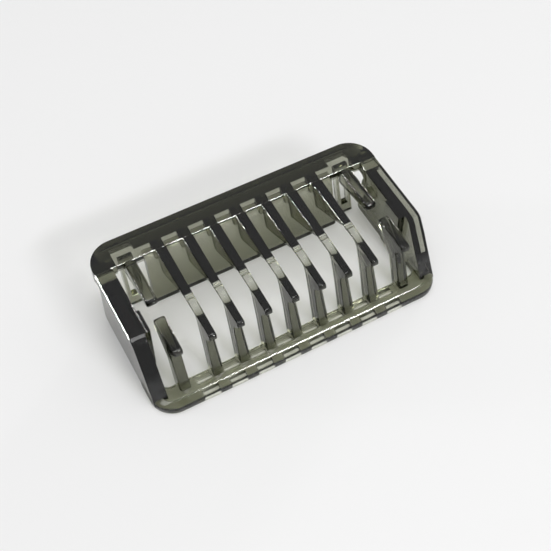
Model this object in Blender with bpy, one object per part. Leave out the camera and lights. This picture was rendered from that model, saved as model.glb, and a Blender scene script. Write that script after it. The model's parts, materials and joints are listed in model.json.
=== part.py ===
"""Click-on guard comb of a hair trimmer: a smoke-clear skin guard with slotted ribs.

Frame: +Z up, the comb lies with its blade side on the table and its skin side up. The origin is the
middle of the base. +Y points to the rear flange and +X to the right-hand cheek, seen from the front.
Everything is drawn in millimetres and brought to metres by MM. Pieces that would be one flow of
plastic in the mould are kept apart here by a hairline JOINT_GAP, so that each has its own solid.
"""
import math

import bmesh
import bpy
from mathutils import Matrix, Vector

MM = 0.001                    # every length below is in millimetres
JOINT_GAP = 0.04              # hairline between neighbouring pieces

# Overall size
LENGTH = 37.9                 # along X, over the base lip
DEPTH = 20.4                  # along Y
HEIGHT = 8.0                  # along Z
FRONT = -DEPTH / 2
REAR = DEPTH / 2
REAR_CORNER_RADIUS = 3.2
FRONT_CORNER_RADIUS = 2.85

# Cheeks
CHEEK_OUTER = 18.85           # the cheeks stand a little inside the base lip
CHEEK_INNER = 16.6
CHEEK_FRONT_INNER = 17.05     # thinner along the sloping front edge
CHEEK_BEND = FRONT + 6.1      # where the flat top turns down to the front
CHEEK_FOOT = FRONT + 1.9      # where the sloping front edge meets the base
CHEEK_REAR_FOOT = FRONT + 16.0

# Rear flange and slanting rear wall
FLANGE_FRONT = FRONT + 16.55
FLANGE_SKIN = 1.1             # top skin in front of the rear wall
FLANGE_LIP = 2.4              # depth of the lip along the rear edge
LIP_WIDTH = 0.25
LIP_SLOPE = FRONT + 18.3      # behind this line the underside slopes down to the lip
GUSSET_REAR = FRONT + 17.75
POCKET_WIDTH = 2.0            # one pocket under the flange between each two ribs
POCKET_REAR = FRONT + 18.3
POCKET_SKIN = 0.95
WELL_WIDTH = 2.8              # opening in the underside round each tongue's root
WELL_REAR = FRONT + 19.5
WELL_SKIN = 0.95
WALL_FOOT_Z = 0.1
WALL_HALF_LENGTH = 12.6
WALL_INNER_FOOT = FRONT + 14.75
WALL_INNER_BEND = FRONT + 16.5
WALL_BEND_Z = 5.7             # the wall leans back up to here, then stands upright
WALL_OUTER_FOOT = FRONT + 15.95
WALL_OUTER_BEND = FRONT + 17.15

# Front rail
RAIL_REAR = FRONT + 3.2
RAIL_FLOOR = 0.8              # thickness of the floor between the ribs' feet
RIDGE_OUTER = FRONT + 0.45
RIDGE_INNER = FRONT + 1.05
RIDGE_HEIGHT = 1.1
RAIL_ARM_REAR = FRONT + 5.4   # the rail's arms run back beside the cheeks' feet

# Ribs
RIB_PITCH = 3.5
RIB_COUNT = 7
RIB_REAR_WIDTH = 1.4
RIB_TIP_WIDTH = 0.9
RIB_FOOT_WIDTH = 1.4
RIB_TIP = FRONT + 2.75
BRIDGE_REAR = FRONT + 9.3     # thin bridge between the rear fin and the front leg
BRIDGE_FRONT = FRONT + 6.9
BRIDGE_THICKNESS = 0.55
FIN_FOOT_Z = 3.9              # where the fin's lower edge meets the rear wall

# End ribs, split in two halves
HORN_X = 14.75
HORN_REAR = FRONT + 8.1
STUB_X = 14.5
STUB_FRONT = FRONT + 10.2
END_RIB_WIDTH = 1.4

# Snap tongues and the guide ribs beside them
TONGUE_X = 14.6
TONGUE_WIDTH = 1.8
TONGUE_LEG = 0.4
TONGUE_THICKNESS = 0.9
TONGUE_FOOT_HEIGHT = 1.4
TONGUE_FOOT_Z = 0.3
TONGUE_FOOT_Y = FRONT + 15.6
TONGUE_ROOT_Y = FRONT + 17.5
TONGUE_ROUNDING = 0.35        # the root bends about the middle of this rounding
GUIDE_FRONT = FRONT + 6.9
GUIDE_REAR = FRONT + 10.0
GUIDE_DEPTH = 0.35

COLLECTION_NAME = "clipper_guard_comb"


def clear_scene():
    for obj in list(bpy.data.objects):
        bpy.data.objects.remove(obj, do_unlink=True)


def make_collection(name):
    collection = bpy.data.collections.new(name)
    bpy.context.scene.collection.children.link(collection)
    return collection


def make_material(name, colour, alpha):
    """Smoke-tinted clear plastic."""
    material = bpy.data.materials.new(name)
    material.use_nodes = True
    shader = material.node_tree.nodes["Principled BSDF"]
    shader.inputs["Base Color"].default_value = (*colour, 1.0)
    shader.inputs["Roughness"].default_value = 0.08
    shader.inputs["Metallic"].default_value = 0.0
    shader.inputs["IOR"].default_value = 1.58
    shader.inputs["Alpha"].default_value = alpha
    return material


def rounded(corners, steps=5):
    """Turns (u, v, radius) corners into a polyline with an arc at each corner that has a radius."""
    points = []
    count = len(corners)
    for index, (u, v, radius) in enumerate(corners):
        if radius <= 0:
            points.append((u, v))
            continue
        before = corners[index - 1]
        after = corners[(index + 1) % count]
        in_u, in_v = before[0] - u, before[1] - v
        out_u, out_v = after[0] - u, after[1] - v
        in_length = math.hypot(in_u, in_v)
        out_length = math.hypot(out_u, out_v)
        in_u, in_v = in_u / in_length, in_v / in_length
        out_u, out_v = out_u / out_length, out_v / out_length
        half = math.acos(max(-1.0, min(1.0, in_u * out_u + in_v * out_v))) / 2
        run = radius / math.tan(half)
        reach = radius / math.sin(half)
        mid_u, mid_v = in_u + out_u, in_v + out_v
        mid_length = math.hypot(mid_u, mid_v)
        centre_u = u + mid_u / mid_length * reach
        centre_v = v + mid_v / mid_length * reach
        start = math.atan2(v + in_v * run - centre_v, u + in_u * run - centre_u)
        end = math.atan2(v + out_v * run - centre_v, u + out_u * run - centre_u)
        sweep = (end - start + math.pi) % (2 * math.pi) - math.pi
        for step in range(steps + 1):
            angle = start + sweep * step / steps
            points.append((centre_u + radius * math.cos(angle), centre_v + radius * math.sin(angle)))
    return points


SIDE = Matrix(((0, 0, 1, 0), (1, 0, 0, 0), (0, 1, 0, 0), (0, 0, 0, 1)))    # outline (y, z), depth along X
PLAN = Matrix.Identity(4)                                                  # outline (x, y), depth along Z
FACE = Matrix(((1, 0, 0, 0), (0, 0, -1, 0), (0, 1, 0, 0), (0, 0, 0, 1)))   # outline (x, z), depth along Y


def outline_mesh(name, outline, low, high, view):
    """Extrudes a flat outline from low to high along the view's depth, and returns a closed mesh."""
    curve = bpy.data.curves.new(name, 'CURVE')
    curve.dimensions = '2D'
    curve.fill_mode = 'BOTH'
    curve.extrude = (high - low) / 2
    spline = curve.splines.new('POLY')
    spline.points.add(len(outline) - 1)
    for point, (u, v) in zip(spline.points, outline):
        point.co = (u, v, 0.0, 1.0)
    spline.use_cyclic_u = True
    guide = bpy.data.objects.new(name + "_outline", curve)
    bpy.context.scene.collection.objects.link(guide)
    evaluated = guide.evaluated_get(bpy.context.evaluated_depsgraph_get())
    mesh = bpy.data.meshes.new_from_object(evaluated)
    bpy.data.objects.remove(guide, do_unlink=True)
    bpy.data.curves.remove(curve)
    depth_shift = Matrix.Translation((0, 0, (high + low) / 2))
    mesh.transform(Matrix.Scale(MM, 4) @ view @ depth_shift)
    weld(mesh)
    mesh.name = name
    return mesh


def weld(mesh):
    work = bmesh.new()
    work.from_mesh(mesh)
    bmesh.ops.remove_doubles(work, verts=work.verts, dist=0.002 * MM)
    bmesh.ops.recalc_face_normals(work, faces=work.faces)
    work.to_mesh(mesh)
    work.free()


def add_node(name, mesh, collection, material):
    """Adds a named sub-part. Its rounded runs shade smooth and its corners stay crisp."""
    node = bpy.data.objects.new(name, mesh)
    mesh.materials.clear()
    mesh.materials.append(material)
    mesh.shade_smooth()
    mesh.set_sharp_from_angle(angle=math.radians(32))
    collection.objects.link(node)
    return node


def box_outline(u_low, u_high, v_low, v_high):
    return [(u_low, v_low), (u_high, v_low), (u_high, v_high), (u_low, v_high)]


def add_cutter(name, mesh, cutters):
    cutter = bpy.data.objects.new(name, mesh)
    cutters.objects.link(cutter)
    cutter.hide_render = True
    cutter.display_type = 'WIRE'
    return cutter


def cut(node, cutter):
    modifier = node.modifiers.new("cut_" + cutter.name, 'BOOLEAN')
    modifier.operation = 'DIFFERENCE'
    modifier.solver = 'EXACT'
    modifier.object = cutter


def wall_y(z):
    """Inner face of the rear wall at height z."""
    rise = (min(z, WALL_BEND_Z) - WALL_FOOT_Z) / (WALL_BEND_Z - WALL_FOOT_Z)
    return WALL_INNER_FOOT + (WALL_INNER_BEND - WALL_INNER_FOOT) * rise


def draft(mesh, middle, width, width_at):
    """Widens or narrows a plate about the plane x = middle, to width_at(y, z) at each point."""
    for vertex in mesh.vertices:
        x, y, z = (value / MM for value in vertex.co)
        vertex.co.x = (middle + (x - middle) * width_at(y, z) / width) * MM


def build_rear_flange(parts, cutters, material):
    """Plate along the rear: a lip behind, a pocket between each two ribs and a well at each tongue."""
    plan = rounded([
        (-CHEEK_OUTER, FLANGE_FRONT, 0), (CHEEK_OUTER, FLANGE_FRONT, 0),
        (CHEEK_OUTER, REAR, REAR_CORNER_RADIUS), (-CHEEK_OUTER, REAR, REAR_CORNER_RADIUS)], steps=10)
    bottom = HEIGHT - FLANGE_LIP
    below = bottom - 1
    flange = add_node("rear_flange", outline_mesh("rear_flange", plan, bottom, HEIGHT, PLAN), parts, material)
    wall_seat = box_outline(FLANGE_FRONT - 1, WALL_OUTER_BEND + JOINT_GAP, below, HEIGHT - FLANGE_SKIN)
    rear_hollow = [
        (GUSSET_REAR, below), (REAR - LIP_WIDTH, below), (REAR - LIP_WIDTH, bottom + 0.1),
        (LIP_SLOPE, HEIGHT - FLANGE_SKIN), (GUSSET_REAR, bottom + 0.1)]
    for name, outline in (("wall_seat", wall_seat), ("rear_hollow", rear_hollow)):
        mesh = outline_mesh(name, outline, -CHEEK_OUTER - 1, CHEEK_OUTER + 1, SIDE)
        cut(flange, add_cutter(name + "_cutter", mesh, cutters))
    for number in range(RIB_COUNT + 1):
        middle = (number - RIB_COUNT / 2) * RIB_PITCH
        pocket = box_outline(middle - POCKET_WIDTH / 2, middle + POCKET_WIDTH / 2,
                             WALL_OUTER_BEND - 0.1, POCKET_REAR)
        mesh = outline_mesh("pocket", pocket, below, HEIGHT - POCKET_SKIN, PLAN)
        cut(flange, add_cutter(f"pocket_cutter_{number + 1}", mesh, cutters))
    for side in (-1, 1):
        middle = side * TONGUE_X
        well = box_outline(middle - WELL_WIDTH / 2, middle + WELL_WIDTH / 2, WALL_OUTER_BEND - 0.1, WELL_REAR)
        mesh = outline_mesh("tongue_well", well, below, HEIGHT - WELL_SKIN, PLAN)
        cut(flange, add_cutter(f"{'left' if side < 0 else 'right'}_well_cutter", mesh, cutters))
    return flange


def build_rear_wall(parts, material):
    top = HEIGHT - FLANGE_SKIN - JOINT_GAP
    outline = rounded([
        (WALL_INNER_FOOT, WALL_FOOT_Z, 0.15), (WALL_OUTER_FOOT, WALL_FOOT_Z, 0.15),
        (WALL_OUTER_BEND, WALL_BEND_Z - 0.5, 0.6), (WALL_OUTER_BEND, top, 0),
        (WALL_INNER_BEND, top, 0), (WALL_INNER_BEND, WALL_BEND_Z, 0)])
    mesh = outline_mesh("rear_wall", outline, -WALL_HALF_LENGTH, WALL_HALF_LENGTH, SIDE)
    return add_node("rear_wall", mesh, parts, material)


def build_cheek(side, parts, cutters, material):
    """Side plate: flat top, sloping front edge, and thinner in front of the bend."""
    name = "left_cheek" if side < 0 else "right_cheek"
    foot = RAIL_FLOOR + JOINT_GAP
    arm = RAIL_ARM_REAR + JOINT_GAP
    outline = rounded([
        (CHEEK_REAR_FOOT, 0, 0.4), (FLANGE_FRONT - JOINT_GAP, HEIGHT, 0), (CHEEK_BEND, HEIGHT, 1.4),
        (CHEEK_FOOT, foot, 0), (arm, foot, 0), (arm, 0, 0)])
    low, high = sorted((side * CHEEK_INNER, side * CHEEK_OUTER))
    cheek = add_node(name, outline_mesh(name, outline, low, high, SIDE), parts, material)
    relief = box_outline(FRONT - 1, GUIDE_FRONT, -1, HEIGHT + 1)
    low, high = sorted((side * (CHEEK_INNER - 1), side * CHEEK_FRONT_INNER))
    cut(cheek, add_cutter(f"{name}_relief_cutter", outline_mesh("relief", relief, low, high, SIDE), cutters))
    return cheek


def build_front_rail(parts, material):
    """Floor plate whose arms run back under the cheeks."""
    half = LENGTH / 2
    arm_inner = CHEEK_FRONT_INNER
    outer = [
        (-half, RAIL_ARM_REAR, 0), (-half, FRONT, FRONT_CORNER_RADIUS), (half, FRONT, FRONT_CORNER_RADIUS),
        (half, RAIL_ARM_REAR, 0), (arm_inner, RAIL_ARM_REAR, 0), (arm_inner, RAIL_REAR, 0.9),
        (-arm_inner, RAIL_REAR, 0.9), (-arm_inner, RAIL_ARM_REAR, 0)]
    rail = outline_mesh("front_rail", rounded(outer, steps=8), 0, RAIL_FLOOR, PLAN)
    return add_node("front_rail", rail, parts, material)


def build_front_ridge(parts, material):
    """The raised lip that runs along the rail and round both front corners."""
    base = RAIL_FLOOR + JOINT_GAP
    end = CHEEK_FOOT - JOINT_GAP
    inset = RIDGE_OUTER - FRONT
    outer_x = LENGTH / 2 - inset
    inner_x = outer_x - (RIDGE_INNER - RIDGE_OUTER)
    outer_radius = FRONT_CORNER_RADIUS - inset
    bend = end - RIDGE_OUTER
    outer_radius = min(outer_radius, bend - 0.05)
    inner_radius = min(outer_radius - (RIDGE_INNER - RIDGE_OUTER), end - RIDGE_INNER - 0.05)
    outline = rounded([
        (-outer_x, end, 0), (-outer_x, RIDGE_OUTER, outer_radius), (outer_x, RIDGE_OUTER, outer_radius),
        (outer_x, end, 0), (inner_x, end, 0), (inner_x, RIDGE_INNER, inner_radius),
        (-inner_x, RIDGE_INNER, inner_radius), (-inner_x, end, 0)], steps=8)
    ridge = outline_mesh("front_ridge", outline, base, RIDGE_HEIGHT, PLAN)
    return add_node("front_ridge", ridge, parts, material)


def leg_outline():
    """Front half of a rib from under the bridge: leg, foot, neck and hook nose, up to the flat top."""
    foot = RAIL_FLOOR + JOINT_GAP
    return [
        (FRONT + 6.5, HEIGHT - BRIDGE_THICKNESS, 0.3), (FRONT + 3.95, foot, 0), (FRONT + 1.7, foot, 0),
        (FRONT + 3.85, 6.0, 0.5), (RIB_TIP, 7.25, 0.3), (RIB_TIP + 0.05, HEIGHT, 0.45)]


def rib_width(y, z):
    """Wide along the rear fin, narrow at the hook nose, and wider again towards the foot."""
    along = min(1.0, max(0.0, (y - BRIDGE_FRONT) / (FLANGE_FRONT - BRIDGE_FRONT)))
    top = RIB_TIP_WIDTH + (RIB_REAR_WIDTH - RIB_TIP_WIDTH) * along
    if y > BRIDGE_REAR:
        return top
    return top + (RIB_FOOT_WIDTH - RIB_TIP_WIDTH) * (HEIGHT - z) / HEIGHT


def build_rib(number, parts, material):
    """One full rib: a fin on the rear wall, a thin bridge, then a hook-nosed leg down to the rail."""
    name = f"rib_{number}"
    x = (number - (RIB_COUNT + 1) / 2) * RIB_PITCH
    rear = FLANGE_FRONT - JOINT_GAP
    outline = [(rear, HEIGHT, 0), (rear, HEIGHT - FLANGE_SKIN, 0)]
    outline += [(wall_y(z) - JOINT_GAP, z, 0) for z in (HEIGHT - FLANGE_SKIN, WALL_BEND_Z, FIN_FOOT_Z)]
    outline += [(BRIDGE_REAR, HEIGHT - BRIDGE_THICKNESS, 0.8)] + leg_outline()
    mesh = outline_mesh(name, rounded(outline, steps=4), x - RIB_REAR_WIDTH / 2, x + RIB_REAR_WIDTH / 2, SIDE)
    draft(mesh, x, RIB_REAR_WIDTH, rib_width)
    return add_node(name, mesh, parts, material)


def horn_width(y, z):
    """A little narrower at the hook nose than at the free rear end."""
    along = min(1.0, max(0.0, (y - RIB_TIP) / (HORN_REAR - RIB_TIP)))
    return END_RIB_WIDTH * (0.8 + 0.2 * along) + 0.25 * (HEIGHT - z) / HEIGHT


def build_end_horn(side, parts, material):
    """Front half of a split end rib: a hook-nosed leg with a free rounded end."""
    name = "left_end_horn" if side < 0 else "right_end_horn"
    outline = [(HORN_REAR, HEIGHT, 0.5), (HORN_REAR, 6.9, 0.5)] + leg_outline()[1:]
    x = side * HORN_X
    mesh = outline_mesh(name, rounded(outline, steps=4), x - END_RIB_WIDTH / 2, x + END_RIB_WIDTH / 2, SIDE)
    draft(mesh, x, END_RIB_WIDTH, horn_width)
    return add_node(name, mesh, parts, material)


def build_end_stub(side, parts, material):
    """Rear half of a split end rib: a beam that stands out from the flange."""
    name = "left_end_stub" if side < 0 else "right_end_stub"
    outline = rounded([
        (FLANGE_FRONT - JOINT_GAP, 5.6, 0), (FLANGE_FRONT - JOINT_GAP, HEIGHT, 0),
        (STUB_FRONT, HEIGHT, 0.5), (STUB_FRONT, 6.9, 0.5)], steps=4)
    x = side * STUB_X
    mesh = outline_mesh(name, outline, x - END_RIB_WIDTH / 2, x + END_RIB_WIDTH / 2, SIDE)
    return add_node(name, mesh, parts, material)


def build_guide_rib(side, parts, material):
    """Upright rib on a cheek's inner face that centres the comb on the cutter head."""
    name = "left_guide_rib" if side < 0 else "right_guide_rib"
    root = CHEEK_INNER - JOINT_GAP
    low, high = sorted((side * root, side * (root - GUIDE_DEPTH)))
    outline = rounded([
        (GUIDE_FRONT, 0.4, 0.3), (GUIDE_REAR, 0.4, 0.3), (GUIDE_REAR, HEIGHT - 0.15, 0.1),
        (GUIDE_FRONT, HEIGHT - 0.15, 0.1)])
    return add_node(name, outline_mesh(name, outline, low, high, SIDE), parts, material)


def build_tongue(side, parts, cutters, material):
    """Snap tongue: two sprung legs under the flange, joined by a foot that grips the cutter head."""
    name = "left_snap_tongue" if side < 0 else "right_snap_tongue"
    half = TONGUE_WIDTH / 2
    opening = half - TONGUE_LEG
    top = HEIGHT - WELL_SKIN - JOINT_GAP
    x = side * TONGUE_X
    outline = rounded([
        (TONGUE_FOOT_Y, TONGUE_FOOT_Z, 0.2), (TONGUE_FOOT_Y + TONGUE_THICKNESS, TONGUE_FOOT_Z, 0.2),
        (TONGUE_ROOT_Y + TONGUE_THICKNESS, top, TONGUE_ROUNDING), (TONGUE_ROOT_Y, top, TONGUE_ROUNDING)])
    tongue = add_node(name, outline_mesh(name, outline, x - half, x + half, SIDE), parts, material)
    slot = box_outline(x - opening, x + opening, TONGUE_FOOT_Z + TONGUE_FOOT_HEIGHT, top - 1.1)
    slot_mesh = outline_mesh("tongue_slot", slot, -REAR, REAR, FACE)
    cut(tongue, add_cutter(f"{name}_slot_cutter", slot_mesh, cutters))
    hinge = Vector((x, TONGUE_ROOT_Y + TONGUE_THICKNESS / 2, top - TONGUE_ROUNDING)) * MM
    tongue.data.transform(Matrix.Translation(-hinge))
    tongue.location = hinge
    return tongue


def main():
    clear_scene()
    parts = make_collection(COLLECTION_NAME)
    cutters = make_collection("cutters")
    shell = make_material("smoke_shell", (0.20, 0.20, 0.17), 0.6)
    comb = make_material("smoke_ribs", (0.17, 0.17, 0.15), 0.65)
    spring = make_material("smoke_tongues", (0.26, 0.26, 0.22), 0.5)
    build_rear_flange(parts, cutters, shell)
    build_rear_wall(parts, shell)
    build_front_rail(parts, shell)
    build_front_ridge(parts, shell)
    for number in range(1, RIB_COUNT + 1):
        build_rib(number, parts, comb)
    for side in (-1, 1):
        build_cheek(side, parts, cutters, shell)
        build_end_horn(side, parts, comb)
        build_end_stub(side, parts, comb)
        build_guide_rib(side, parts, shell)
        build_tongue(side, parts, cutters, spring)


main()
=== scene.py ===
"""Click-on guard comb of a hair trimmer in smoke-clear plastic, lying skin side up on a pale table.

The fixed features of the comb are one moulding, so they are built as one solid without seams. The two
snap tongues stay separate pieces because they flex. Lengths are in millimetres, brought to metres by MM.
Y is counted from the middle of the base, towards the rear flange. Z is counted from the table.
"""
import json
import math

import bmesh
import bpy
from mathutils import Matrix, Vector


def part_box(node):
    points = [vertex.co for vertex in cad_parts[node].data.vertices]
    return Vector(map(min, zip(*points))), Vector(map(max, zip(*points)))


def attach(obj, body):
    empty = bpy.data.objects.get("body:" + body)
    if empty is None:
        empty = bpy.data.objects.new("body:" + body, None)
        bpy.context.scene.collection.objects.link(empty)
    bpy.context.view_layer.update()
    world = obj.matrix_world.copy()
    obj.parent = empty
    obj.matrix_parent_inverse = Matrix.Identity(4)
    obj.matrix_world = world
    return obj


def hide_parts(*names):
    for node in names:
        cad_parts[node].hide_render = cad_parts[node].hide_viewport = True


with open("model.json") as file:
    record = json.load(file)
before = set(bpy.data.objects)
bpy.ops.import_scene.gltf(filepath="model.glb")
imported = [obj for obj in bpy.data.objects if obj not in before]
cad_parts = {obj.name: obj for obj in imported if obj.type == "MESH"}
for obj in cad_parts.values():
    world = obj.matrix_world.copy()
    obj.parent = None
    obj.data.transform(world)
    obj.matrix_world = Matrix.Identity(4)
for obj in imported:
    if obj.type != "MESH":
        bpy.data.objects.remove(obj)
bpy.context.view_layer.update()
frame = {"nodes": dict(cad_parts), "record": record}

MM = 0.001

# Overall size, from the CAD frame
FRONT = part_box("front_rail")[0].y / MM
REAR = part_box("rear_flange")[1].y / MM
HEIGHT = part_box("rear_flange")[1].z / MM
HALF_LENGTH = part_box("front_rail")[1].x / MM
CHEEK_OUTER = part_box("right_cheek")[1].x / MM
CHEEK_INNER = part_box("right_cheek")[0].x / MM
RAIL_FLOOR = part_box("front_rail")[1].z / MM
RIDGE_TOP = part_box("front_ridge")[1].z / MM
WALL_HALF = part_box("rear_wall")[1].x / MM
FLANGE_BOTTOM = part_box("rear_flange")[0].z / MM
FLANGE_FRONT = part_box("rear_flange")[0].y / MM

# Cheeks
CHEEK_FRONT_INNER = CHEEK_INNER + 0.45
CHEEK_BEND = FRONT + 6.1
CHEEK_FOOT = FRONT + 1.9
CHEEK_REAR_FOOT = FRONT + 16.0
CHEEK_REAR = FRONT + 15.5     # behind this only a skin joins the cheek to the flange
CHEEK_SKIN = 1.6
SLOT_SKIN = 0.6               # skin over the narrow slot along the outside of the right cheek
SLOT_FOOT = FRONT + 3.9
SLOT_FOOT_Z = 3.5
CHEEK_ROUNDED = 1.0           # above this height the cheek's top and front edges are rounded
RAIL_ARM_REAR = FRONT + 5.4

# Rear flange and wall
FLANGE_SKIN = 1.1
LIP_SLOPE = FRONT + 18.3
GUSSET_REAR = FRONT + 17.75
POCKET_WIDTH = 2.0
POCKET_REAR = FRONT + 18.3
POCKET_SKIN = 0.95
WELL_X = 14.6
WELL_WIDTH = 2.8
WELL_REAR = FRONT + 19.5
WELL_SKIN = 0.95
WALL_FOOT_Z = 0.1
WALL_NECK_Z = 6.4             # above this the outer face leans back to meet the flange's underside
WALL_INNER_FOOT = FRONT + 14.75
WALL_OUTER_FOOT = FRONT + 15.95
WALL_OUTER_NECK = FRONT + 17.1
SEAT_REAR = FRONT + 16.9
LIP_PAINTED_SHADE = FRONT + 19.3       # behind this the base colour is darkened, painted shade for the deep rear lip

# Front rail
RAIL_REAR = FRONT + 3.2
RIDGE_INNER = FRONT + 1.1
CREST = 0.08                 # fine crest along the ridge's inner edge, with a facet to the front
CREST_FOOT = RIDGE_TOP - 0.066
GROOVE_FRONT = FRONT + 2.05   # groove in the rail's underside
GROOVE_REAR = FRONT + 2.5
GROOVE_TOP = 0.6
GROOVE_HALF = 1.0
NOTCH_FRONT = FRONT + 0.25    # row of notches in the underside, just behind the front face
NOTCH_REAR = FRONT + 1.0
NOTCH_TOP = 0.66
NOTCH_HALF = 1.05
TAPER_FRONT = FRONT + 2.2     # from here the underside rises towards the rear
TAPER_SLOPE = 0.2
TAPER_HALF = 0.85

# Ribs
RIB_PITCH = 3.5
RIB_COUNT = 7
RIB_REAR_WIDTH = 1.4
RIB_TIP_WIDTH = 0.9
RIB_FOOT_WIDTH = 1.4
RIB_TIP = FRONT + 2.75
BRIDGE_REAR = FRONT + 9.3
BRIDGE_FRONT = FRONT + 6.9
BRIDGE_THICKNESS = 0.3
BEAD_Y = FRONT + 8.75         # small bead across the underside of the bridge
BEAD_RADIUS = 0.3
FIN_FOOT_Z = 3.9
FIN_TOP_BURIED = 6.3          # underside of the fin's end inside the flange
FIN_DRAFT = 0.9               # how fast the fin narrows downwards
FOOT_BOTTOM = 0.02
HORN_X = 14.75
HORN_REAR = FRONT + 8.1
STUB_X = 14.5
STUB_FRONT = FRONT + 10.2
END_RIB_WIDTH = 1.4

# Guide ribs
GUIDE_FRONT = FRONT + 6.9
GUIDE_REAR = FRONT + 10.0
GUIDE_DEPTH = 0.35

EDGE = 0.1                    # rounding of the ordinary edges
CHAMFER = 0.04                # flat chamfer along the flange's front edge
BURY = 0.3                    # how far a feature reaches into its neighbour before they are joined
SHARP_ANGLE = 32              # degrees; edges that turn by more than this shade sharp

SIDE = Matrix(((0, 0, 1, 0), (1, 0, 0, 0), (0, 1, 0, 0), (0, 0, 0, 1)))    # outline (y, z), depth along X
PLAN = Matrix.Identity(4)                                                  # outline (x, y), depth along Z


def rounded(corners, steps=6):
    """Turns (u, v, radius) corners into a polyline with an arc at each corner that has a radius."""
    points = []
    count = len(corners)
    for index, (u, v, radius) in enumerate(corners):
        if radius <= 0:
            points.append((u, v))
            continue
        corner = Vector((u, v))
        into = (Vector(corners[index - 1][:2]) - corner).normalized()
        out = (Vector(corners[(index + 1) % count][:2]) - corner).normalized()
        half = into.angle(out) / 2
        centre = corner + (into + out).normalized() * (radius / math.sin(half))
        first = corner + into * (radius / math.tan(half)) - centre
        last = corner + out * (radius / math.tan(half)) - centre
        start = math.atan2(first.y, first.x)
        sweep = (math.atan2(last.y, last.x) - start + math.pi) % (2 * math.pi) - math.pi
        for step in range(steps + 1):
            angle = start + sweep * step / steps
            points.append((centre.x + radius * math.cos(angle), centre.y + radius * math.sin(angle)))
    return points


def plate(name, outline, low, high, view, rims=()):
    """Extrudes an outline from low to high along the view's depth.

    Each (width, segments, test) of rims rounds the sharp edges whose two ends both pass the test.
    """
    curve = bpy.data.curves.new(name, 'CURVE')
    curve.dimensions = '2D'
    curve.fill_mode = 'BOTH'
    curve.extrude = (high - low) / 2
    spline = curve.splines.new('POLY')
    spline.points.add(len(outline) - 1)
    for point, (u, v) in zip(spline.points, outline):
        point.co = (u, v, 0.0, 1.0)
    spline.use_cyclic_u = True
    guide = bpy.data.objects.new(name + "_guide", curve)
    bpy.context.scene.collection.objects.link(guide)
    mesh = bpy.data.meshes.new_from_object(guide.evaluated_get(bpy.context.evaluated_depsgraph_get()))
    bpy.data.objects.remove(guide, do_unlink=True)
    bpy.data.curves.remove(curve)
    mesh.transform(view @ Matrix.Translation((0, 0, (high + low) / 2)))
    work = bmesh.new()
    work.from_mesh(mesh)
    bmesh.ops.remove_doubles(work, verts=work.verts, dist=0.002)
    bmesh.ops.recalc_face_normals(work, faces=work.faces)
    bmesh.ops.dissolve_limit(work, angle_limit=math.radians(1), verts=work.verts, edges=work.edges)
    lowest = [min(vertex.co[axis] for vertex in work.verts) for axis in range(3)]
    highest = [max(vertex.co[axis] for vertex in work.verts) for axis in range(3)]
    for width, segments, test in rims:
        sharp = [e for e in work.edges if len(e.link_faces) == 2 and e.calc_face_angle() > math.radians(50)
                 and all(test(v.co) for v in e.verts)]
        bmesh.ops.bevel(work, geom=sharp, offset=width, segments=segments, profile=0.5,
                        affect='EDGES', clamp_overlap=False)
    for vertex in work.verts:
        vertex.co = [min(max(vertex.co[axis], lowest[axis]), highest[axis]) for axis in range(3)]
    work.to_mesh(mesh)
    work.free()
    mesh.name = name
    piece = bpy.data.objects.new(name, mesh)
    bpy.context.scene.collection.objects.link(piece)
    return piece


def all_edges(width, segments=2):
    return [(width, segments, lambda point: True)]


def box_outline(u_low, u_high, v_low, v_high):
    return [(u_low, v_low), (u_high, v_low), (u_high, v_high), (u_low, v_high)]


def combine(target, tool, operation):
    """Applies one exact Boolean to target and removes the tool."""
    modifier = target.modifiers.new(operation, 'BOOLEAN')
    modifier.operation = operation
    modifier.solver = 'EXACT'
    modifier.object = tool
    mesh = bpy.data.meshes.new_from_object(target.evaluated_get(bpy.context.evaluated_depsgraph_get()))
    target.modifiers.clear()
    target.data = mesh
    bpy.data.objects.remove(tool, do_unlink=True)


def join_all(target, tools):
    for tool in tools:
        combine(target, tool, 'UNION')


def cut_all(target, tools):
    for tool in tools:
        combine(target, tool, 'DIFFERENCE')


def draft(piece, middle, width, width_at):
    """Widens or narrows a plate about the plane x = middle, to width_at(y, z) at each point."""
    work = bmesh.new()
    work.from_mesh(piece.data)
    bmesh.ops.triangulate(work, faces=work.faces)
    for vertex in work.verts:
        x, y, z = vertex.co
        vertex.co.x = middle + (x - middle) * width_at(y, z) / width
    work.to_mesh(piece.data)
    work.free()


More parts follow.
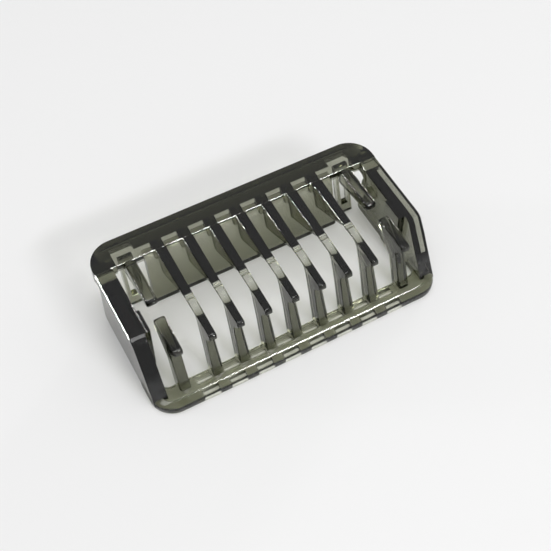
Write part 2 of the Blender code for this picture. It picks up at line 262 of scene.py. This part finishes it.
def make_flange():
    """Plate with a seat for the wall, a sloping hollow up to the rear lip, pockets and tongue wells."""
    plan = rounded([
        (-CHEEK_OUTER, FLANGE_FRONT, 0), (CHEEK_OUTER, FLANGE_FRONT, 0),
        (CHEEK_OUTER, REAR, 3.2), (-CHEEK_OUTER, REAR, 3.2)], steps=14)
    flange = plate("flange", plan, FLANGE_BOTTOM, HEIGHT, PLAN, [
        (CHAMFER, 1, lambda point: point.y < FLANGE_FRONT + 0.01 and point.z > HEIGHT - 0.01),
        (0.06, 2, lambda point: point.y > FLANGE_FRONT + 0.01)])
    below = FLANGE_BOTTOM - 1
    reach = CHEEK_OUTER + 1
    seat = box_outline(FLANGE_FRONT - 1, SEAT_REAR, below, HEIGHT - FLANGE_SKIN)
    hollow = [(GUSSET_REAR, below), (REAR - 0.25, below), (REAR - 0.25, FLANGE_BOTTOM + 0.1),
              (LIP_SLOPE, HEIGHT - FLANGE_SKIN), (GUSSET_REAR, FLANGE_BOTTOM + 0.1)]
    foot = [(SEAT_REAR - 0.2, below), (GUSSET_REAR + 0.1, below), (GUSSET_REAR + 0.1, FLANGE_BOTTOM),
            (SEAT_REAR - 0.2, FLANGE_BOTTOM + 0.55)]
    cut_all(flange, [plate(name, outline, -reach, reach, SIDE)
                     for name, outline in (("seat", seat), ("hollow", hollow), ("foot", foot))])
    for number in range(RIB_COUNT + 1):
        middle = (number - RIB_COUNT / 2) * RIB_PITCH
        pocket = box_outline(middle - POCKET_WIDTH / 2, middle + POCKET_WIDTH / 2,
                             SEAT_REAR - 0.1, POCKET_REAR)
        cut_all(flange, [plate("pocket", pocket, below, HEIGHT - POCKET_SKIN, PLAN)])
    for side in (-1, 1):
        middle = side * WELL_X
        well = box_outline(middle - WELL_WIDTH / 2, middle + WELL_WIDTH / 2, SEAT_REAR - 0.1, WELL_REAR)
        cut_all(flange, [plate("well", well, below, HEIGHT - WELL_SKIN, PLAN)])
    return flange


def make_wall():
    """Slanting wall whose inner face runs right up to the chamfer on the flange's front edge."""
    top = HEIGHT - CHAMFER - 0.02
    outline = rounded([
        (WALL_INNER_FOOT, WALL_FOOT_Z, 0.15), (WALL_OUTER_FOOT, WALL_FOOT_Z, 0.4),
        (WALL_OUTER_NECK, WALL_NECK_Z, 0.3), (WALL_OUTER_NECK + 0.5, HEIGHT - FLANGE_SKIN, 0),
        (WALL_OUTER_NECK + 0.5, HEIGHT - FLANGE_SKIN + BURY, 0), (FLANGE_FRONT + BURY, top, 0),
        (FLANGE_FRONT + 0.005, top, 0)])
    return plate("wall", outline, -WALL_HALF, WALL_HALF, SIDE, [(EDGE, 2, lambda point: point.z < 6)])


def make_cheek(side):
    """Side plate: flat top, sloping front edge, thinner in front, with a thin skin over its rear end."""
    outline = rounded([
        (CHEEK_REAR_FOOT, 0, 0.4), (CHEEK_REAR, HEIGHT - CHEEK_SKIN, 0.5),
        (FLANGE_FRONT + BURY, HEIGHT - CHEEK_SKIN, 0), (FLANGE_FRONT + BURY, HEIGHT - 0.002, 0),
        (CHEEK_BEND, HEIGHT - 0.002, 1.4), (CHEEK_FOOT - 0.2, RAIL_FLOOR - 0.3, 0),
        (RAIL_ARM_REAR - 0.4, RAIL_FLOOR - 0.3, 0), (RAIL_ARM_REAR - 0.4, 0, 0)], steps=8)
    low, high = sorted((side * CHEEK_INNER, side * (CHEEK_OUTER - 0.002)))
    cheek = plate("cheek", outline, low, high, SIDE, [
        (0.1, 1, lambda point: abs(point.x) > CHEEK_OUTER - 0.05 and point.z > CHEEK_ROUNDED),
        (0.3, 3, lambda point: abs(point.x) < CHEEK_INNER + 0.05 and point.z > CHEEK_ROUNDED)])
    relief = box_outline(FRONT - 1, GUIDE_FRONT - 0.1, -1, HEIGHT + 1)
    low, high = sorted((side * (CHEEK_INNER - 1), side * CHEEK_FRONT_INNER))
    slot = [(SLOT_FOOT, -1), (CHEEK_REAR - 0.4, -1), (CHEEK_REAR - 0.4, HEIGHT - SLOT_SKIN),
            (CHEEK_BEND + 0.3, HEIGHT - SLOT_SKIN), (SLOT_FOOT, SLOT_FOOT_Z)]
    cut_all(cheek, [plate("relief", relief, low, high, SIDE)])
    if side > 0:
        cut_all(cheek, [plate("slot", slot, CHEEK_OUTER - 0.85, CHEEK_OUTER - 0.25, SIDE)])
    return cheek


def make_rail():
    """Floor plate with a raised front edge, stepped down to a thin floor between the ribs' feet."""
    inner = CHEEK_FRONT_INNER
    outline = rounded([
        (-HALF_LENGTH, RAIL_ARM_REAR, 0), (-HALF_LENGTH, FRONT, 2.85), (HALF_LENGTH, FRONT, 2.85),
        (HALF_LENGTH, RAIL_ARM_REAR, 0), (inner, RAIL_ARM_REAR, 0), (inner, RAIL_REAR, 0.9),
        (-inner, RAIL_REAR, 0.9), (-inner, RAIL_ARM_REAR, 0)], steps=10)
    rail = plate("rail", outline, 0, RIDGE_TOP, PLAN, [
        (0.4, 3, lambda point: point.z > RIDGE_TOP - 0.01), (EDGE, 2, lambda point: True)])
    floor_x = HALF_LENGTH - (RIDGE_INNER - FRONT)
    trough = rounded([
        (-floor_x, REAR, 0), (-floor_x, RIDGE_INNER, 1.7), (floor_x, RIDGE_INNER, 1.7),
        (floor_x, REAR, 0)], steps=10)
    plateau = [(FRONT - 1, CREST_FOOT), (RIDGE_INNER - CREST, CREST_FOOT), (RIDGE_INNER, RIDGE_TOP),
               (RIDGE_INNER, RIDGE_TOP + 1), (FRONT - 1, RIDGE_TOP + 1)]
    cut_all(rail, [plate("trough", trough, RAIL_FLOOR, RIDGE_TOP + 1, PLAN),
                   plate("plateau", plateau, -HALF_LENGTH - 1, HALF_LENGTH + 1, SIDE)])
    return rail


def underside_cutters():
    """A taper under each rib's foot, and a groove and a notch under the rail in each bay."""
    rear = RAIL_REAR + 0.7
    taper = [(TAPER_FRONT, -0.5), (rear, -0.5), (rear, (rear - TAPER_FRONT) * TAPER_SLOPE), (TAPER_FRONT, 0)]
    cutters = []
    feet = [-HORN_X, HORN_X] + [(number - (RIB_COUNT - 1) / 2) * RIB_PITCH for number in range(RIB_COUNT)]
    for x in feet:
        cutters.append(plate("taper", taper, x - TAPER_HALF, x + TAPER_HALF, SIDE))
    slot = [(GROOVE_FRONT, -1), (RAIL_REAR - EDGE, -1), (RAIL_REAR - EDGE, 0.02), (GROOVE_REAR, 0.25),
            (GROOVE_REAR, GROOVE_TOP), (GROOVE_FRONT, GROOVE_TOP)]
    notch = box_outline(NOTCH_FRONT, NOTCH_REAR, -1, NOTCH_TOP)
    for number in range(RIB_COUNT + 1):
        middle = (number - RIB_COUNT / 2) * RIB_PITCH
        cutters.append(plate("groove", slot, middle - GROOVE_HALF, middle + GROOVE_HALF, SIDE))
        cutters.append(plate("notch", notch, middle - NOTCH_HALF, middle + NOTCH_HALF, SIDE))
    return cutters


def leg_outline():
    """Front half of a rib: under the bridge, down the leg, foot, neck, hook nose and up to the top."""
    return [
        (FRONT + 6.6, HEIGHT - BRIDGE_THICKNESS, 1.6), (FRONT + 5.15, 4.2, 0), (FRONT + 3.65, FOOT_BOTTOM, 0),
        (FRONT + 1.65, FOOT_BOTTOM, 0), (FRONT + 3.85, 6.0, 0.6), (RIB_TIP, 7.25, 0.3),
        (RIB_TIP + 0.05, HEIGHT - 0.004, 0.4)]


def rib_width(y, z):
    """Widens to the rear. The rear fin narrows downwards, the front leg widens downwards."""
    depth = (HEIGHT - z) / HEIGHT
    along = min(1.0, max(0.0, (y - BRIDGE_FRONT) / (FLANGE_FRONT - BRIDGE_FRONT)))
    front = min(1.0, max(0.0, (BRIDGE_REAR - y) / (BRIDGE_REAR - BRIDGE_FRONT)))
    top = RIB_TIP_WIDTH + (RIB_REAR_WIDTH - RIB_TIP_WIDTH) * along
    return top + (RIB_FOOT_WIDTH - RIB_TIP_WIDTH) * depth * front - FIN_DRAFT * depth * (1 - front)


def make_rib(number):
    """Fin on the wall, thin bridge with a bead under it, then the hook-nosed leg down to the rail."""
    x = (number - (RIB_COUNT - 1) / 2) * RIB_PITCH
    under = HEIGHT - BRIDGE_THICKNESS
    outline = [(SEAT_REAR + BURY, HEIGHT - 0.004, 0), (SEAT_REAR + BURY, FIN_TOP_BURIED, 0),
               (WALL_INNER_FOOT + 1.4, FIN_FOOT_Z, 0), (BRIDGE_REAR + 0.5, under - 0.5, 0.2),
               (BRIDGE_REAR, under, 0.1)] + leg_outline()
    rib = plate("rib", rounded(outline), x - RIB_REAR_WIDTH / 2, x + RIB_REAR_WIDTH / 2, SIDE,
                all_edges(0.16, 3))
    draft(rib, x, RIB_REAR_WIDTH, rib_width)
    bead = [(BEAD_Y + BEAD_RADIUS * math.cos(math.pi * step / 6),
             under + 0.05 - BEAD_RADIUS * math.sin(math.pi * step / 6)) for step in range(7)]
    half = rib_width(BEAD_Y, under) / 2 - 0.06
    combine(rib, plate("bead", bead, x - half, x + half, SIDE), 'UNION')
    return rib


def horn_width(y, z):
    along = min(1.0, max(0.0, (y - RIB_TIP) / (HORN_REAR - RIB_TIP)))
    return END_RIB_WIDTH * (0.8 + 0.2 * along) + 0.25 * (HEIGHT - z) / HEIGHT


def make_horn(side):
    """Front half of a split end rib."""
    outline = [(HORN_REAR, HEIGHT - 0.004, 0.5), (HORN_REAR, 6.9, 0.5)] + leg_outline()[1:]
    x = side * HORN_X
    horn = plate("horn", rounded(outline), x - END_RIB_WIDTH / 2, x + END_RIB_WIDTH / 2, SIDE,
                 all_edges(0.25, 3))
    draft(horn, x, END_RIB_WIDTH, horn_width)
    return horn


def make_stub(side):
    """Rear half of a split end rib."""
    outline = rounded([
        (FLANGE_FRONT + BURY, 5.6, 0), (FLANGE_FRONT + BURY, HEIGHT - 0.004, 0),
        (STUB_FRONT, HEIGHT - 0.004, 0.5), (STUB_FRONT, 6.9, 0.5)])
    x = side * STUB_X
    return plate("stub", outline, x - END_RIB_WIDTH / 2, x + END_RIB_WIDTH / 2, SIDE, all_edges(0.25, 3))


def make_guide(side):
    """Upright rib on a cheek's inner face."""
    low, high = sorted((side * (CHEEK_INNER + 0.2), side * (CHEEK_INNER - GUIDE_DEPTH)))
    outline = rounded([
        (GUIDE_FRONT, 0.4, 0.3), (GUIDE_REAR, 0.4, 0.3), (GUIDE_REAR, HEIGHT - 0.15, 0.1),
        (GUIDE_FRONT, HEIGHT - 0.15, 0.1)])
    return plate("guide", outline, low, high, SIDE, all_edges(0.06))


def finish_mesh(piece, material):
    """Brings a piece to metres, and shades its curved runs smooth while its flat faces stay flat."""
    mesh = piece.data
    mesh.transform(Matrix.Scale(MM, 4))
    mesh.materials.clear()
    mesh.materials.append(material)
    for polygon in mesh.polygons:
        polygon.material_index = 0
    mesh.shade_smooth()
    mesh.set_sharp_from_angle(angle=math.radians(SHARP_ANGLE))
    modifier = piece.modifiers.new("flat_faces_stay_flat", 'WEIGHTED_NORMAL')
    modifier.keep_sharp = True
    piece.data = bpy.data.meshes.new_from_object(
        piece.evaluated_get(bpy.context.evaluated_depsgraph_get()), preserve_all_data_layers=True,
        depsgraph=bpy.context.evaluated_depsgraph_get())
    piece.modifiers.clear()


def smoke_plastic(name, density, colour, roughness):
    """Clear plastic with an even tint all through, and the faint waviness of a polished mould; behind the
    rear lip line its base colour is darkened as painted shade.
    """
    material = bpy.data.materials.new(name)
    material.use_nodes = True
    nodes, links = material.node_tree.nodes, material.node_tree.links
    shader = nodes["Principled BSDF"]
    shader.inputs["Metallic"].default_value = 0.0
    shader.inputs["IOR"].default_value = 1.58
    shader.inputs["Transmission Weight"].default_value = 1.0
    where = nodes.new("ShaderNodeTexCoord")
    flow = nodes.new("ShaderNodeTexNoise")
    flow.inputs["Scale"].default_value = 350.0
    flow.inputs["Detail"].default_value = 2.0
    bump = nodes.new("ShaderNodeBump")
    bump.inputs["Strength"].default_value = 0.02
    bump.inputs["Distance"].default_value = 0.00008
    links.new(where.outputs["Object"], flow.inputs["Vector"])
    links.new(flow.outputs["Fac"], bump.inputs["Height"])
    links.new(bump.outputs["Normal"], shader.inputs["Normal"])
    haze = nodes.new("ShaderNodeTexNoise")
    haze.inputs["Scale"].default_value = 1400.0
    haze.inputs["Detail"].default_value = 4.0
    level = nodes.new("ShaderNodeMapRange")
    level.inputs["From Min"].default_value = 0.35
    level.inputs["From Max"].default_value = 0.7
    level.inputs["To Min"].default_value = roughness
    level.inputs["To Max"].default_value = roughness + 0.05
    links.new(where.outputs["Object"], haze.inputs["Vector"])
    links.new(haze.outputs["Fac"], level.inputs["Value"])
    links.new(level.outputs["Result"], shader.inputs["Roughness"])
    # Painted shade: the base colour falls to 0.45 behind the rear lip line, standing in for the darkness of
    # the deep lip.
    along = nodes.new("ShaderNodeSeparateXYZ")
    painted_lip_shade = nodes.new("ShaderNodeMapRange")
    painted_lip_shade.inputs["From Min"].default_value = (LIP_PAINTED_SHADE - 0.15) * MM
    painted_lip_shade.inputs["From Max"].default_value = (LIP_PAINTED_SHADE + 0.15) * MM
    painted_lip_shade.inputs["To Min"].default_value = 1.0
    painted_lip_shade.inputs["To Max"].default_value = 0.45
    links.new(where.outputs["Object"], along.inputs["Vector"])
    links.new(along.outputs["Y"], painted_lip_shade.inputs["Value"])
    links.new(painted_lip_shade.outputs["Result"], shader.inputs["Base Color"])
    clear = nodes.new("ShaderNodeBsdfTransparent")
    rays = nodes.new("ShaderNodeLightPath")
    mix = nodes.new("ShaderNodeMixShader")
    links.new(rays.outputs["Is Shadow Ray"], mix.inputs["Fac"])
    links.new(shader.outputs["BSDF"], mix.inputs[1])
    links.new(clear.outputs["BSDF"], mix.inputs[2])
    links.new(mix.outputs["Shader"], nodes["Material Output"].inputs["Surface"])
    tint = nodes.new("ShaderNodeVolumeAbsorption")
    tint.inputs["Color"].default_value = (*colour, 1.0)
    tint.inputs["Density"].default_value = density
    links.new(tint.outputs["Volume"], nodes["Material Output"].inputs["Volume"])
    return material


def make_moulding(material):
    """Joins every fixed feature into one solid, and then cuts the rail's underside."""
    moulding = make_flange()
    moulding.name = "moulding"
    join_all(moulding, [make_wall(), make_rail()])
    join_all(moulding, [make_rib(number) for number in range(RIB_COUNT)])
    for side in (-1, 1):
        join_all(moulding, [make_cheek(side), make_guide(side), make_horn(side), make_stub(side)])
    cut_all(moulding, underside_cutters())
    finish_mesh(moulding, material)
    return moulding


def make_camera():
    """Looks down on the comb from the front left."""
    azimuth, tilt, distance = 0.49869, 0.96927, 123.85
    right = Vector((math.cos(azimuth), -math.sin(azimuth), 0))
    up = Vector((math.sin(azimuth) * math.sin(tilt), math.cos(azimuth) * math.sin(tilt), math.cos(tilt)))
    back = right.cross(up)
    place = 3.7026 * -right + 9.1006 * up + distance * back + Vector((0, FRONT, 0))
    data = bpy.data.cameras.new("camera")
    data.sensor_width = 36
    data.lens = 68.6
    data.clip_start = 0.005
    data.clip_end = 20
    camera = bpy.data.objects.new("camera", data)
    bpy.context.scene.collection.objects.link(camera)
    turn = Matrix((right, up, back)).transposed().to_4x4()
    camera.matrix_world = Matrix.Translation(place * MM) @ turn
    bpy.context.scene.camera = camera


def area_light(name, place, target, size, watts):
    data = bpy.data.lights.new(name, 'AREA')
    data.shape = 'RECTANGLE'
    data.size, data.size_y = size
    data.energy = watts
    lamp = bpy.data.objects.new(name, data)
    lamp.location = place
    lamp.rotation_euler = (Vector(target) - Vector(place)).to_track_quat('-Z', 'Y').to_euler()
    bpy.context.scene.collection.objects.link(lamp)


def make_stage():
    """Pale table, soft surround, one overhead softbox and three narrow strips for the edge lines."""
    bpy.ops.mesh.primitive_plane_add(size=3, location=(0, 0, -0.00003))
    floor = bpy.context.object
    floor.name = "table"
    material = bpy.data.materials.new("table_white")
    material.use_nodes = True
    shader = material.node_tree.nodes["Principled BSDF"]
    shader.inputs["Base Color"].default_value = (0.86, 0.86, 0.86, 1.0)
    shader.inputs["Roughness"].default_value = 0.7
    shader.inputs["Specular IOR Level"].default_value = 0.1
    floor.data.materials.append(material)
    world = bpy.data.worlds.new("studio")
    world.use_nodes = True
    nodes, links = world.node_tree.nodes, world.node_tree.links
    where = nodes.new("ShaderNodeTexCoord")
    parts = nodes.new("ShaderNodeSeparateXYZ")
    fade = nodes.new("ShaderNodeMapRange")
    fade.inputs["From Min"].default_value = 0.05
    fade.inputs["From Max"].default_value = 0.6
    fade.inputs["To Min"].default_value = 0.46
    fade.inputs["To Max"].default_value = 0.5
    links.new(where.outputs["Generated"], parts.inputs["Vector"])
    links.new(parts.outputs["Z"], fade.inputs["Value"])
    links.new(fade.outputs["Result"], nodes["Background"].inputs["Strength"])
    nodes["Background"].inputs["Color"].default_value = (1.0, 1.0, 1.0, 1.0)
    bpy.context.scene.world = world
    area_light("key_softbox", (-0.01, 0.01, 0.40), (0, 0, 0), (0.30, 0.20), 0.60)
    area_light("front_strip", (0.10, -0.30, 0.224), (0, 0, 0), (0.13, 0.03), 0.45)
    area_light("left_strip", (-0.29, 0.17, 0.047), (0, 0, 0), (0.05, 0.03), 0.19)
    area_light("right_strip", (0.29, 0.17, 0.047), (0, 0, 0), (0.05, 0.03), 0.19)
    bpy.context.scene.view_settings.view_transform = 'Standard'


shell = smoke_plastic("smoke_moulding", 1200.0, (0.17, 0.185, 0.0), 0.02)
moulding = make_moulding(shell)
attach(moulding, "comb")
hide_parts(*frame["record"]["behaviour"]["bodies"]["comb"])
for side_name in ("left", "right"):
    node = frame["nodes"][f"{side_name}_snap_tongue"]
    for index in range(len(node.material_slots)):
        node.material_slots[index].material = shell

make_stage()
make_camera()
